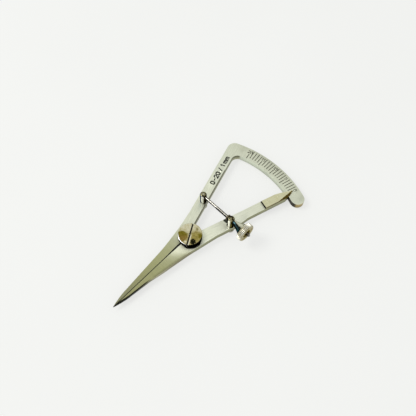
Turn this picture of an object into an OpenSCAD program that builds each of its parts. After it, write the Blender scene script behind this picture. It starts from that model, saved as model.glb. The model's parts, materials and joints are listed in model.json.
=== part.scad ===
// Straight bow caliper with an arc scale, of the kind used in surgery and dentistry.
// Two flat legs cross-lap at a pivot screw. A thumb nut on a spindle, carried between two
// swivelling pillars, draws the arms together, and that opens the blade tips.
// Frame: Z is the pivot axis and z = 0 is the surface that the caliper lies on. The blades
// point along -Y and the scale arc lies towards +Y. The tips are drawn closed.

/* [Reach and scale] */
// Distance from the pivot axis to the blade tips
tip_reach = 36.7; // [35:0.1:38]
// Outer radius of the scale arc about the pivot axis
arc_r_out = 47.2; // [46.8:0.1:49]
// Radial width of the scale arc
arc_w = 5.4; // [5.2:0.1:6]
// Largest opening between the tips, which is also the number of graduations
opening = 20; // [10:1:20]
// Direction of the zero graduation, seen from the pivot axis
zero_angle = 70; // [69.5:0.1:70.5]

/* [Legs] */
// Thickness of both legs
leg_t = 2.4; // [2.2:0.1:2.8]
// Height of the legs' underside above the surface
leg_lift = 0.9; // [0.9:0.1:1.2]
// Offset of the blades' parting line from the pivot axis
seam_x = -0.7; // [-1:0.1:-0.4]
// Width of the scale leg beside the pivot, from the parting line
scale_hub_w = 5; // [4.9:0.1:5.4]
// Width of the pointer leg beside the pivot, from the parting line
pointer_hub_w = 6; // [5.8:0.1:6.2]
// Width of the gap between the blades beside the pivot
seam_gap = 0.46; // [0.2:0.02:0.6]
// Width of each arm
arm_w = 4; // [3.9:0.1:4.3]
// Distance of each arm's centreline from the parting line, level with the pivot
arm_root = 2.5; // [2.3:0.1:2.7]
// Lean of each arm away from the parting line
arm_lean = 17.4; // [17.2:0.1:17.8]
// Thickness left at the blade tips
tip_t = 0.5; // [0.3:0.1:0.8]

/* [Pivot] */
// Diameter of the pivot screw's head
head_d = 9; // [9:0.1:9.6]
// Height of the pivot screw's head
head_h = 2.35; // [1.8:0.05:2.6]
// Diameter of the screw's plain shank
shank_d = 3.6; // [3:0.1:4]
// Direction of the screwdriver slot
slot_angle = 120; // [0:5:180]

/* [Pillars and thumb nut] */
// Distance of both pillars from the pivot axis
pillar_r = 15.75; // [15.6:0.05:15.9]
// Direction of the left pillar, on the scale arm
left_angle = 115.9; // [115.6:0.1:116.4]
// Direction of the right pillar, on the pointer arm
right_angle = 61; // [60.8:0.1:62]
// Diameter of the pillars
pillar_d = 2.6; // [2.5:0.1:2.8]
// Height of the pillars above the legs
pillar_h = 5.7; // [5.5:0.1:6.2]
// Height of the spindle's axis above the legs
spindle_h = 4.3; // [4.2:0.1:4.5]
// Diameter of the spindle
spindle_d = 1.2; // [1:0.1:1.2]
// Diameter of the thumb wheel
wheel_d = 7.2; // [6.4:0.1:7.4]
// Width of the thumb wheel
wheel_w = 2.2; // [1.8:0.1:2.8]
// Number of teeth in the thumb wheel's knurl
knurl_n = 44; // [30:2:50]

/* [Hidden] */
$fn = 64;

// Heights of the legs
leg_z0 = leg_lift;
leg_z1 = leg_lift + leg_t;
leg_mid = (leg_z0 + leg_z1) / 2;

// The lapped ears at the pivot, and the running gaps
ear_r = 4.35;
ear_clear = 0.1;
lap_gap = 0.04;
face_gap = 0.02;
turn_clear = 0.03;

// Outer edge of each blade: [distance below the pivot, width from the parting line]
scale_flank = [[0, scale_hub_w], [6.5, 3.75], [10.5, 3.15], [20.5, 2.25]];
pointer_flank = [[0, pointer_hub_w], [5, 4.9], [9.5, 4.2], [16.5, 3.2], [22, 2.2]];
nose_start = 30;
nose_w = 1.35;
tip_gap = 0.04;
tip_y = sqrt(tip_reach * tip_reach - seam_x * seam_x);
taper_start = 5.5;

// Scale arc
arc_r_in = arc_r_out - arc_w;
arc_end_angle = 65.2;
corner_r = 3.2;
fillet_r = 2.8;
tick_w = 0.3;
tick_deep = 0.12;
tick_in = 42.8;
tick_out = 46.6;
fifth_in = 42.1;
fifth_out = 44.6;

// Arms: the pointer arm's outer half width at its pillar, where each arm leaves the hub, and
// where the pointer arm draws in
pillar_side_w = 2.65;
hub_end_u = 8.4;
neck_u0 = 17.5;
neck_u1 = 23.5;

// Pointer plates, measured along and across the pointer arm
plate_u = 30.4;
plate_t = 0.95;
plate_w = 3.7;
keeper_side = plate_w / 2 - 0.5;
pointer_r = 44.2;
facet_from = 5.6;
facet_w = 1;
arc_gap = 1.3;
arc_relief = 0.07;
rivet_d = 0.9;
rivet_us = [32.6, 37.2];

// Small round parts
washer_t = 0.2;
nut_d = 6.4;
thread_d = 3;
slot_w = 0.45;
slot_deep = 0.8;
peg_d = 1.4;
clip_d = 2.9;
spigot_d = 1.8;
collar_d = 2.4;
collar_t = 0.5;
neck_d = 2;
cone_d = 5.2;
hub_core_d = 3.4;
neck_start = pillar_d / 2 + 0.15;
wheel_start = 5.8;
stop_t = 0.6;
stop_d = 1.8;
stop_seat_d = 0.8;
pin_d = 0.5;

// Where the pillars stand, and the spindle between them
left_pos = polar(pillar_r, left_angle);
right_pos = polar(pillar_r, right_angle);
spindle_angle = (left_angle + right_angle) / 2 - 90;
pillar_gap = 2 * pillar_r * sin((left_angle - right_angle) / 2);
spindle_z = leg_z1 + spindle_h;
pillar_seat = leg_z1 + washer_t;
spindle_root = 0.8;
spindle_end = pillar_gap + wheel_start + wheel_w + 0.05;

function polar(r, a) = [r * cos(a), r * sin(a)];
function unit(p) = p / norm(p);

// Angle that the pointer leg turns for an opening of k between the tips
function tip_angle(k) = 2 * asin(k / (2 * tip_reach));

// A point u along and v outwards across an arm. side is -1 for the scale arm, 1 for the pointer arm.
function along(side) = [side * sin(arm_lean), cos(arm_lean)];
function across(side) = [side * cos(arm_lean), -sin(arm_lean)];
function arm_point(side, u, v) =
    [seam_x + side * arm_root, 0] + u * along(side) + v * across(side);

// How far along an arm the line at v meets a circle of radius r about the pivot
function arm_u_at(side, v, r) =
    let (b = arm_point(side, 0, v), k = b * along(side))
    -k + sqrt(k * k - (b * b - r * r));

// A point of a blade's outer edge, and the ogive of its nose
function blade_point(side, y, w) = [seam_x + side * w, -y];
function nose_width(t) = nose_w * (1 - pow(t, 1.5));

// One leg's outline. arm_edge runs from the arm's inner edge, round its end, to its outer edge.
module leg_outline(side, arm_edge) {
    nose = [for (t = [0:0.125:0.875])
        blade_point(side, nose_start + t * (tip_y - nose_start), nose_width(t) + tip_gap)];
    flank = [for (s = side < 0 ? scale_flank : pointer_flank) blade_point(side, s[0], s[1])];
    inner = [blade_point(side, tip_y, tip_gap / 2), blade_point(side, 0, seam_gap / 2)];
    polygon(concat([arm_point(side, 3, -arm_w / 2)], arm_edge, flank, nose, inner));
}

// The blades are ground thinner from both faces towards the tips
module thickness_envelope() {
    rotate([90, 0, 90])
        linear_extrude(100, center = true)
            polygon([[-tip_y, leg_mid - tip_t / 2], [-taper_start, leg_z0], [60, leg_z0],
                     [60, leg_z1], [-taper_start, leg_z1], [-tip_y, leg_mid + tip_t / 2]]);
}

module disc(d, z0, z1) {
    translate([0, 0, z0]) cylinder(d = d, h = z1 - z0);
}

module ring(d, bore_d, z0, z1) {
    difference() {
        disc(d, z0, z1);
        disc(bore_d, z0 - 1, z1 + 1);
    }
}

// The corner between two edges that meet at k, outside a circle of radius r about c
module corner(c, k, on_arm, on_arc, r) {
    difference() {
        polygon([c, c + 1.25 * (on_arm - c), c + 1.6 * (k - c), c + 1.25 * (on_arc - c)]);
        translate(c) circle(r = r);
    }
}

module arc_corner(v_edge, v_centre, r_edge, r_centre, r) {
    c = arm_point(-1, arm_u_at(-1, v_centre, r_centre), v_centre);
    k = arm_point(-1, arm_u_at(-1, v_edge, r_edge), v_edge);
    on_arm = arm_point(-1, arm_u_at(-1, v_centre, r_centre), v_edge);
    corner(c, k, on_arm, unit(c) * r_edge, r);
}

module arc_band() {
    mid_r = (arc_r_in + arc_r_out) / 2;
    left_end = 109;
    difference() {
        circle(r = arc_r_out, $fn = 180);
        circle(r = arc_r_in, $fn = 180);
        polygon([[0, 0], polar(90, left_end), polar(120, 180), polar(120, 270),
                 polar(120, 0), polar(90, arc_end_angle)]);
    }
    translate(polar(mid_r, arc_end_angle)) circle(d = arc_w);
}

module scale_leg_outline() {
    difference() {
        union() {
            intersection() {
                leg_outline(-1, [arm_point(-1, 60, -arm_w / 2), arm_point(-1, 60, arm_w / 2),
                                 arm_point(-1, hub_end_u, arm_w / 2)]);
                circle(r = arc_r_out, $fn = 180);
            }
            arc_band();
            arc_corner(-arm_w / 2, -arm_w / 2 - fillet_r, arc_r_in, arc_r_in - fillet_r, fillet_r);
        }
        arc_corner(arm_w / 2, arm_w / 2 - corner_r, arc_r_out, arc_r_out - corner_r, corner_r);
    }
}

// The pointer arm is widest at its pillar and draws in beyond it along an S-shaped edge
module pointer_leg_outline() {
    draw_in = [for (t = [1:-0.125:0])
        arm_point(1, neck_u0 + t * (neck_u1 - neck_u0),
                  pillar_side_w + (plate_w / 2 - pillar_side_w) * (1 - cos(180 * t)) / 2)];
    intersection() {
        leg_outline(1, concat([arm_point(1, hub_end_u, -arm_w / 2),
                               arm_point(1, neck_u1, -plate_w / 2),
                               arm_point(1, plate_u + 5.6, -plate_w / 2),
                               arm_point(1, plate_u + 10.1, -0.75), arm_point(1, 50, -0.7),
                               arm_point(1, 50, plate_w / 2)],
                              draw_in, [arm_point(1, hub_end_u, pillar_side_w)]));
        circle(r = arc_r_in - arc_gap, $fn = 180);
    }
}

// A leg keeps its own ear at the pivot and makes way for the other leg's ear
module lapped(ear_z0, ear_z1, room_z0, room_z1) {
    difference() {
        union() {
            difference() {
                children();
                disc(2 * (ear_r + ear_clear), room_z0, room_z1);
            }
            disc(2 * ear_r, ear_z0, ear_z1);
        }
        disc(shank_d + 2 * turn_clear, -1, 10);
    }
}

module graduations() {
    for (k = [0:opening]) {
        fifth = k % 5 == 0;
        from = fifth ? fifth_in : tick_in;
        to = fifth ? fifth_out : tick_out;
        rotate(zero_angle + tip_angle(k))
            translate([from, -tick_w / 2, leg_z1 - tick_deep])
                cube([to - from, tick_w, 1]);
    }
}

module pillar_hole(pos) {
    translate(pos) disc(peg_d + 2 * turn_clear, -1, 10);
}

module scale_leg() {
    color("#d2d5c3")
        difference() {
            lapped(leg_z0, leg_mid - lap_gap / 2, leg_mid - lap_gap / 2, 10)
                intersection() {
                    translate([0, 0, leg_z0]) linear_extrude(leg_t) scale_leg_outline();
                    thickness_envelope();
                }
            pillar_hole(left_pos);
            graduations();
        }
}

module pointer_leg() {
    color("#d0d3c0")
        difference() {
            lapped(leg_mid + lap_gap / 2, leg_z1, -1, leg_mid + lap_gap / 2)
                intersection() {
                    translate([0, 0, leg_z0]) linear_extrude(leg_t) pointer_leg_outline();
                    thickness_envelope();
                }
            pillar_hole(right_pos);
            rivet_holes();
        }
}

// Slotted head with a chamfered rim and a slightly crowned face, on a stepped shank
module pivot_screw() {
    z = leg_z1 + face_gap;
    r = head_d / 2;
    rim = 0.25;
    color("#c8b987")
        difference() {
            rotate_extrude()
                polygon([[0, 0], [thread_d / 2, 0], [thread_d / 2, leg_z0], [shank_d / 2, leg_z0],
                         [shank_d / 2, z], [r - 0.15, z], [r, z + 0.15], [r, z + head_h - rim - 0.1],
                         [r - rim, z + head_h - 0.1], [r / 2, z + head_h - 0.02], [0, z + head_h]]);
            rotate(slot_angle)
                translate([-head_d, -slot_w / 2, z + head_h - slot_deep])
                    cube([2 * head_d, slot_w, 2 * slot_deep]);
        }
}

module pivot_washer() {
    color("#b9b6a4") ring(7.4, thread_d + 0.1, leg_z0 - washer_t, leg_z0);
}

// Round nut with two spanner notches, flush with the screw's end
module pivot_nut() {
    notch = 0.8;
    color("#bdbba8")
        difference() {
            ring(nut_d, thread_d, 0, leg_z0 - washer_t);
            for (a = [0, 180])
                rotate(a)
                    translate([nut_d / 2 - notch, -notch / 2, -1])
                        cube([2 * notch, notch, 3]);
        }
}

// Outline of the raised plate: a broad arrowhead that narrows along a curve to its reading tip
module pointer_outline(u0, back, side) {
    tip = polar(pointer_r - back, zero_angle);
    polygon([arm_point(1, u0, -1.5), arm_point(1, u0 + 5.8, -1.45), arm_point(1, u0 + 7.4, -1.2),
             arm_point(1, u0 + 9.5, -0.72), arm_point(1, u0 + 11.4, -0.12), tip,
             arm_point(1, u0 + 11.6, side - 0.55), arm_point(1, u0 + 10.4, side - 0.1),
             arm_point(1, u0 + 9.4, side), arm_point(1, u0, side)]);
}

// Everything above the sloping facet that sharpens the plate's outer side towards the tip
module above_facet() {
    start = arm_point(1, plate_u + facet_from, plate_w / 2);
    run = arm_point(1, plate_u + 13.2, 0.2) - start;
    translate([start[0], start[1], leg_z1 + plate_t])
        rotate(atan2(run[1], run[0]))
            rotate([atan(plate_t / facet_w), 0, 0])
                translate([-5, -10, 0]) cube([25, 20, 10]);
}

module rivet_holes() {
    for (u = rivet_us)
        translate(arm_point(1, u, -0.1)) disc(rivet_d, -1, 10);
}

// Clears the arc where a plate passes over or under it
module arc_clearance(z0, z1) {
    difference() {
        disc(110, z0, z1);
        disc(2 * (arc_r_in - arc_gap), z0 - 1, z1 + 1);
    }
}

module pointer_plate() {
    color("#cfc7a0")
        difference() {
            translate([0, 0, leg_z1]) linear_extrude(plate_t) pointer_outline(plate_u, 0, plate_w / 2);
            arc_clearance(leg_z1 - 1, leg_z1 + arc_relief);
            above_facet();
            rivet_holes();
        }
}

module keeper_plate() {
    color("#cfc7a0")
        difference() {
            linear_extrude(leg_z0) pointer_outline(plate_u, 0.6, keeper_side);
            arc_clearance(leg_z0 - arc_relief, leg_z0 + 1);
            rivet_holes();
        }
}

// Two rivets, ground flush with both plates
module plate_rivets() {
    color("#c9c09a")
        for (u = rivet_us)
            translate(arm_point(1, u, -0.1)) disc(rivet_d, 0, leg_z1 + plate_t);
}

// A pillar turns on its peg in the leg. Its top edge is rounded.
module pillar_blank() {
    r = pillar_d / 2;
    top = leg_z1 + pillar_h;
    edge = 0.6;
    rotate_extrude()
        polygon(concat([[0, 0], [peg_d / 2, 0], [peg_d / 2, pillar_seat], [r, pillar_seat]],
                       [for (a = [0:15:75]) [r - edge + edge * cos(a), top - edge + edge * sin(a)]],
                       [[r - edge, top], [0, top]]));
}

// Places a part that is drawn along +X from a pillar's axis at the spindle's height
module on_spindle(pos) {
    translate([pos[0], pos[1], spindle_z]) rotate(spindle_angle) rotate([0, 90, 0]) children();
}

module spindle_pin_hole() {
    translate([left_pos[0], left_pos[1], spindle_z - 0.3])
        cylinder(d = pin_d, h = pillar_h);
}

module left_pillar() {
    color("#d8d8d6")
        difference() {
            translate(left_pos) pillar_blank();
            on_spindle(left_pos) translate([0, 0, -spindle_root]) cylinder(d = spindle_d, h = 5);
            spindle_pin_hole();
        }
}

module right_pillar() {
    color("#d8d8d6")
        difference() {
            translate(right_pos) pillar_blank();
            on_spindle(right_pos)
                translate([0, 0, -5]) cylinder(d = spigot_d + 2 * turn_clear, h = 10);
        }
}

module pillar_washer(pos) {
    color("#c2c2b4") translate(pos) ring(pillar_d + 0.2, peg_d, leg_z1 + face_gap, pillar_seat);
}

module pillar_clip(pos) {
    color("#b5b5a8") translate(pos) ring(clip_d, peg_d, 0, leg_z0 - 0.05);
}

module left_pillar_washer() {
    pillar_washer(left_pos);
}

module left_pillar_clip() {
    pillar_clip(left_pos);
}

module right_pillar_washer() {
    pillar_washer(right_pos);
}

module right_pillar_clip() {
    pillar_clip(right_pos);
}

// The spindle is fixed in the left pillar and passes through the right pillar and the nut
module spindle() {
    color("#cfcfcb")
        difference() {
            on_spindle(left_pos)
                rotate_extrude()
                    polygon([[0, -spindle_root], [spindle_d / 2, -spindle_root],
                             [spindle_d / 2, spindle_end], [stop_seat_d / 2, spindle_end],
                             [stop_seat_d / 2, spindle_end + stop_t + 0.3],
                             [stop_seat_d / 4, spindle_end + stop_t + 0.5],
                             [0, spindle_end + stop_t + 0.5]]);
            spindle_pin_hole();
        }
}

// Dowel from the pillar's top into the spindle
module spindle_pin() {
    top = leg_z1 + pillar_h;
    color("#9d9b90")
        translate([left_pos[0], left_pos[1], spindle_z - 0.3])
            cylinder(d = pin_d, h = top - spindle_z + 0.3);
}

// Ring on the spindle's end that stops the nut at the closed position
module spindle_stop() {
    color("#8f8b7c")
        on_spindle(left_pos) translate([0, 0, spindle_end])
            difference() {
                cylinder(d = stop_d, h = stop_t);
                translate([0, 0, -1]) cylinder(d = stop_seat_d, h = stop_t + 2);
            }
}

// Threaded core of the nut: a spigot that turns in the right pillar, a flared neck and a hub
module nut_core() {
    inner_end = pillar_d / 2 + 0.05 + collar_t;
    end = wheel_start + wheel_w;
    bore = spindle_d / 2 + turn_clear;
    color("#a9adb3")
        on_spindle(right_pos)
            rotate_extrude()
                polygon([[bore, -inner_end], [spigot_d / 2, -inner_end], [spigot_d / 2, neck_start],
                         [neck_d / 2, neck_start], [neck_d / 2, neck_start + 0.6],
                         [cone_d / 2 - 0.3, wheel_start - 0.45], [cone_d / 2, wheel_start - 0.25],
                         [cone_d / 2, wheel_start], [hub_core_d / 2, wheel_start],
                         [hub_core_d / 2, end - 0.15], [bore, end - 0.15]]);
}

// Straight-knurled wheel, pressed onto the core, with bevelled rims
module thumb_wheel() {
    r = wheel_d / 2;
    root = r - 0.22;
    bevel = 0.35;
    step = 360 / knurl_n;
    color("#d4d4cf")
        on_spindle(right_pos) translate([0, 0, wheel_start])
            difference() {
                intersection() {
                    linear_extrude(wheel_w)
                        polygon([for (i = [0:knurl_n - 1], p = [[root, 0], [r, 0.3], [r, 0.6]])
                            polar(p[0], (i + p[1]) * step)]);
                    rotate_extrude()
                        polygon([[0, 0], [r - bevel, 0], [r, bevel], [r, wheel_w - bevel],
                                 [r - bevel, wheel_w], [0, wheel_w]]);
                }
                translate([0, 0, -1]) cylinder(d = hub_core_d, h = wheel_w + 2);
            }
}

// Ring on the spigot that lets the nut pull the right pillar as well as push it
module nut_collar() {
    color("#8d929a")
        on_spindle(right_pos) translate([0, 0, -pillar_d / 2 - 0.05 - collar_t])
            difference() {
                cylinder(d = collar_d, h = collar_t);
                translate([0, 0, -1]) cylinder(d = spigot_d, h = collar_t + 2);
            }
}

scale_leg();
pointer_leg();
pivot_screw();
pivot_washer();
pivot_nut();
pointer_plate();
keeper_plate();
plate_rivets();
left_pillar();
left_pillar_washer();
left_pillar_clip();
right_pillar();
right_pillar_washer();
right_pillar_clip();
spindle();
spindle_pin();
spindle_stop();
nut_core();
thumb_wheel();
nut_collar();
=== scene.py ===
"""Looks of the straight bow caliper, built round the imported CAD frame.

The frame is in metres, Z up, with the pivot axis at x = y = 0. Sizes written here are in
millimetres, and MM turns them into metres.
"""

import json
import math

import bmesh
import bpy
from mathutils import Matrix, Vector


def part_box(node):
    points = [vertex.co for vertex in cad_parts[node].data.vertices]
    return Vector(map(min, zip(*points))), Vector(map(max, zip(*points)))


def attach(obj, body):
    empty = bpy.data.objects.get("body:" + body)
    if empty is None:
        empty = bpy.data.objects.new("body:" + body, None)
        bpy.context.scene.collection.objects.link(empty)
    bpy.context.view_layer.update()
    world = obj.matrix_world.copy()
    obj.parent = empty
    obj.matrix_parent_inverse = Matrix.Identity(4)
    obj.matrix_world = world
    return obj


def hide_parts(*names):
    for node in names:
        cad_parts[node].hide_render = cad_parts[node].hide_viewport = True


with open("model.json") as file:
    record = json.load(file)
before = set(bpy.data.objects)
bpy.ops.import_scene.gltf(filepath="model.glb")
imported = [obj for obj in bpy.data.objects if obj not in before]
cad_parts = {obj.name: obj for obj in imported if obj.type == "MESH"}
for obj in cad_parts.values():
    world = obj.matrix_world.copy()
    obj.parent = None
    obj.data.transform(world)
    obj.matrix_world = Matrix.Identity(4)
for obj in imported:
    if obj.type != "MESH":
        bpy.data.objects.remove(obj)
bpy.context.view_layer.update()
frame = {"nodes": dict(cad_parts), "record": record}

MM = 0.001
PI = math.pi


# ---------------------------------------------------------------- places in the frame

JOINTS = {j["name"]: j for j in frame["record"]["behaviour"]["joints"]}
BODY_OF = {
    node: body
    for body, nodes in frame["record"]["behaviour"]["bodies"].items()
    for node in nodes
}

LEG_LOW, LEG_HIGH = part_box("scale_leg")
TOP = LEG_HIGH.z / MM
UNDER = LEG_LOW.z / MM
TIP_Y = LEG_LOW.y / MM
LEFT = Vector(JOINTS["left_pillar_swivel"]["pos_m"]) / MM
RIGHT = Vector(JOINTS["right_pillar_swivel"]["pos_m"]) / MM
SPINDLE_Z = JOINTS["nut_turn"]["pos_m"][2] / MM
SPINDLE_DIR = -Vector(JOINTS["nut_turn"]["axis"])
SPINDLE_TURN = math.atan2(SPINDLE_DIR.y, SPINDLE_DIR.x)
PILLAR_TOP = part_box("left_pillar")[1].z / MM

SEAM_X = -0.7  # parting line between the blades
ARM_ROOT = 2.5  # arm's centreline from the parting line, level with the pivot
ARM_LEAN = 17.4  # lean of each arm away from the parting line, in degrees


def turned_span(node):
    """Radius, start and end of a turned part along the spindle's axis, from the right pillar."""
    low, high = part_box(node)
    radius = (high.z - low.z) / 2 / MM
    lean = radius * abs(math.sin(SPINDLE_TURN))
    half = ((high.x - low.x) / 2 / MM - lean) / math.cos(SPINDLE_TURN)
    middle = ((low.x + high.x) / 2 / MM - RIGHT.x) / math.cos(SPINDLE_TURN)
    return radius, middle - half, middle + half


HEAD_R = (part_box("pivot_screw")[1].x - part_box("pivot_screw")[0].x) / 2 / MM
HEAD_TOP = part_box("pivot_screw")[1].z / MM
WHEEL_R, WHEEL_START, WHEEL_END = turned_span("thumb_wheel")
COLLAR_R, COLLAR_START, COLLAR_END = turned_span("nut_collar")
WHEEL_MIDDLE = (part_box("thumb_wheel")[0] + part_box("thumb_wheel")[1]) / 2


def along_spindle(centre):
    """Stands a turned part, drawn along +Z, on the spindle's axis with its origin at a pillar."""
    return (
        Matrix.Translation((centre.x, centre.y, SPINDLE_Z))
        @ Matrix.Rotation(SPINDLE_TURN, 4, "Z")
        @ Matrix.Rotation(PI / 2, 4, "Y")
    )


def upright(centre):
    return Matrix.Translation((centre.x, centre.y, 0))


# ---------------------------------------------------------------- materials


TO_CAMERA = (0.69, -0.72)  # across the surface, towards the photograph's camera
SPOT_BLUR = 2.4  # how far noise can move the edge of a spot
STUDIO = 1.02  # light that reaches the camera from a white metal


class Finish:
    """A procedural surface. Colours are layered, and grain goes into roughness and bump."""

    def __init__(self, name, metallic=1.0, grazing=1.0):
        self.mat = bpy.data.materials.new(name)
        self.mat.use_nodes = True
        self.tree = self.mat.node_tree
        self.bsdf = self.tree.nodes["Principled BSDF"]
        self.bsdf.inputs["Metallic"].default_value = metallic
        self.bsdf.inputs["Specular Tint"].default_value = (grazing, grazing, grazing, 1.0)
        place = self.tree.nodes.new("ShaderNodeTexCoord")
        self.coords = place.outputs["Object"]
        split = self.tree.nodes.new("ShaderNodeSeparateXYZ")
        self.tree.links.new(self.coords, split.inputs[0])
        self.x, self.y, self.z = split.outputs
        facing = self.tree.nodes.new("ShaderNodeSeparateXYZ")
        self.tree.links.new(place.outputs["Normal"], facing.inputs[0])
        self.nx, self.ny, self.nz = facing.outputs

    def put(self, socket, value):
        if isinstance(value, bpy.types.NodeSocket):
            self.tree.links.new(value, socket)
        else:
            socket.default_value = value

    def math(self, what, a, b=0.0):
        n = self.tree.nodes.new("ShaderNodeMath")
        n.operation = what
        for socket, value in zip(n.inputs, (a, b)):
            self.put(socket, value)
        return n.outputs[0]

    def add(self, a, b):
        return self.math("ADD", a, b)

    def less(self, a, b):
        return self.math("SUBTRACT", a, b)

    def over(self, a, b):
        return self.math("DIVIDE", a, b)

    def times(self, first, *rest):
        for value in rest:
            first = self.math("MULTIPLY", first, value)
        return first

    def between(self, a, b, share):
        """a where share is 0 and b where it is 1."""
        return self.add(self.times(b, share), self.times(a, self.less(1.0, share)))

    def length(self, a, b):
        return self.math("SQRT", self.add(self.times(a, a), self.times(b, b)))

    def dot(self, a, b, direction):
        return self.add(self.times(a, direction[0]), self.times(b, direction[1]))

    def line(self, slope, offset):
        """x of a line that runs down the blades, from its slope and its x at y = 0."""
        return self.add(self.times(self.y, slope), offset * MM)

    def swing(self, noise, size):
        """Noise turned into a value that swings to both sides of 0."""
        return self.times(self.less(noise, 0.5), size)

    def uneven(self, base, noise, amount):
        return self.add(base, self.times(noise, amount))

    def fade(self, value, start, end, low=0.0, high=1.0):
        """Goes smoothly from low to high as value goes from start to end."""
        n = self.tree.nodes.new("ShaderNodeMapRange")
        n.interpolation_type = "SMOOTHSTEP"
        n.clamp = True
        for socket, v in zip(n.inputs, (value, start, end, low, high)):
            self.put(socket, v)
        return n.outputs[0]

    def fade_mm(self, value, start, end, low=0.0, high=1.0):
        """The same, between two places in millimetres."""
        return self.fade(value, start * MM, end * MM, low, high)

    def noise(self, per_metre, detail=3.0, seed=0.0, rough=0.55, turn=0.0):
        """Noise from one frequency, or from one for each axis to draw it out into grain."""
        if not isinstance(per_metre, tuple):
            per_metre = (per_metre,) * 3
        place = self.tree.nodes.new("ShaderNodeMapping")
        place.inputs["Location"].default_value = (seed, 0.37 * seed, 0.61 * seed)
        place.inputs["Scale"].default_value = per_metre
        turned = self.tree.nodes.new("ShaderNodeMapping")
        turned.inputs["Rotation"].default_value = (0, 0, math.radians(turn))
        self.tree.links.new(self.coords, turned.inputs[0])
        self.tree.links.new(turned.outputs[0], place.inputs[0])
        n = self.tree.nodes.new("ShaderNodeTexNoise")
        n.inputs["Scale"].default_value = 1.0
        n.inputs["Detail"].default_value = detail
        n.inputs["Roughness"].default_value = rough
        self.tree.links.new(place.outputs[0], n.inputs["Vector"])
        return n.outputs["Fac"]

    def mix(self, a, b, share):
        n = self.tree.nodes.new("ShaderNodeMix")
        n.data_type = "RGBA"
        self.put(n.inputs["Factor"], share)
        sockets = [s for s in n.inputs if s.type == "RGBA"]
        for socket, value in zip(sockets, (a, b)):
            if not isinstance(value, bpy.types.NodeSocket):
                value = (*value, 1.0)
            self.put(socket, value)
        return next(s for s in n.outputs if s.type == "RGBA")

    def ramp(self, value, stops):
        """Colours that follow value through (place, colour) stops."""
        start, end = stops[0][0], stops[-1][0]
        share = self.over(self.less(value, start), end - start)
        n = self.tree.nodes.new("ShaderNodeValToRGB")
        marks = n.color_ramp.elements
        for place, colour in stops[1:-1]:
            marks.new((place - start) / (end - start)).color = (*colour, 1.0)
        marks[0].color = (*stops[0][1], 1.0)
        marks[-1].color = (*stops[-1][1], 1.0)
        self.tree.links.new(share, n.inputs["Fac"])
        return n.outputs["Color"]

    def scaled(self, colour, by):
        """The same hue, lighter or darker."""
        n = self.tree.nodes.new("ShaderNodeVectorMath")
        n.operation = "SCALE"
        self.put(n.inputs[0], colour)
        self.put(n.inputs["Scale"], by)
        return n.outputs[0]

    def spot(self, centre, inner, outer, blur=None):
        """1 within inner of a place on the XY plane, 0 beyond outer."""
        far = self.length(self.less(self.x, centre[0] * MM), self.less(self.y, centre[1] * MM))
        if blur is not None:
            far = self.add(far, self.swing(blur, SPOT_BLUR * MM))
        return self.fade_mm(far, outer, inner)

    def done(self, colour, rough, height=None, depth=2e-6, strength=0.4):
        self.put(self.bsdf.inputs["Base Color"], colour)
        self.put(self.bsdf.inputs["Roughness"], rough)
        if height is not None:
            bump = self.tree.nodes.new("ShaderNodeBump")
            bump.inputs["Strength"].default_value = strength
            bump.inputs["Distance"].default_value = depth
            self.tree.links.new(height, bump.inputs["Height"])
            self.tree.links.new(bump.outputs[0], self.bsdf.inputs["Normal"])
        return self.mat


def shown(r, g, b):
    """Base colour of bare metal that shows as this display colour in the studio's light."""
    linear = [((c / 255 + 0.055) / 1.055) ** 2.4 for c in (r, g, b)]
    return tuple(min(0.95, c / STUDIO) for c in linear)


def palette(stops, unit=1.0):
    """Ramp stops from (place, display colour) pairs."""
    return [(place * unit, shown(*colour)) for place, colour in stops]


# Display colours of the legs by y, in mm: each leg's top, and the walls that face outward. The
# outward walls' colours are painted reflection and painted shade, and the pale patch where the
# pointer's blade meets the pivot is a painted sheen
SCALE_TOP = (
    (-37, (108, 108, 84)), (-33, (122, 122, 96)), (-28, (130, 130, 98)), (-22, (143, 143, 104)),
    (-16, (155, 156, 115)), (-10, (163, 164, 126)), (-6, (172, 173, 143)), (-2, (194, 196, 171)),
    (3, (215, 217, 198)), (12, (220, 222, 203)), (30, (218, 221, 203)), (40, (216, 219, 200)),
    (48, (210, 212, 191)),
)
POINTER_TOP = (
    (-37, (108, 108, 84)), (-33, (128, 127, 98)), (-28, (136, 136, 98)), (-22, (150, 150, 110)),
    (-16, (156, 157, 117)), (-12, (166, 167, 130)), (-9.5, (186, 187, 156)),
    (-7.5, (221, 222, 197)), (-5, (229, 230, 209)), (2, (228, 230, 211)), (11, (229, 231, 213)),
    (20, (226, 228, 211)), (28, (220, 222, 202)), (33, (202, 200, 168)), (40, (150, 142, 98)),
)
OUTER_WALL = (
    (-37, (26, 25, 20)), (-28, (30, 29, 23)), (-23, (100, 97, 72)), (-19, (168, 163, 134)),
    (-15, (158, 153, 122)), (-10, (138, 133, 97)), (-6, (142, 137, 104)), (-2, (148, 147, 115)),
)


def arm_place(f, lean, sideways=False):
    """How far a point lies along an arm, or across it to the right."""
    turn = math.radians(lean)
    off = f.less(f.x, (SEAM_X + math.copysign(ARM_ROOT, lean)) * MM)
    if sideways:
        return f.dot(off, f.y, (math.cos(turn), -math.sin(turn)))
    return f.dot(off, f.y, (math.sin(turn), math.cos(turn)))


def arc_wear(f):
    """Tone that the scale arc loses in blots and towards its outer edge."""
    blot = f.noise(420, detail=5.0, seed=17.0, rough=0.6)
    radius = f.length(f.x, f.y)
    on_arc = f.times(f.fade_mm(radius, 39.6, 41.4), f.fade_mm(f.x, 15, 2, 0.45, 1.0),
                     f.fade_mm(f.x, -13, -8))
    loss = f.add(-0.02, f.fade(blot, 0.42, 0.68, 0.0, 0.08))
    return f.times(on_arc, f.add(loss, f.fade_mm(radius, 44, 46.4, 0.0, 0.10)))


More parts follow.
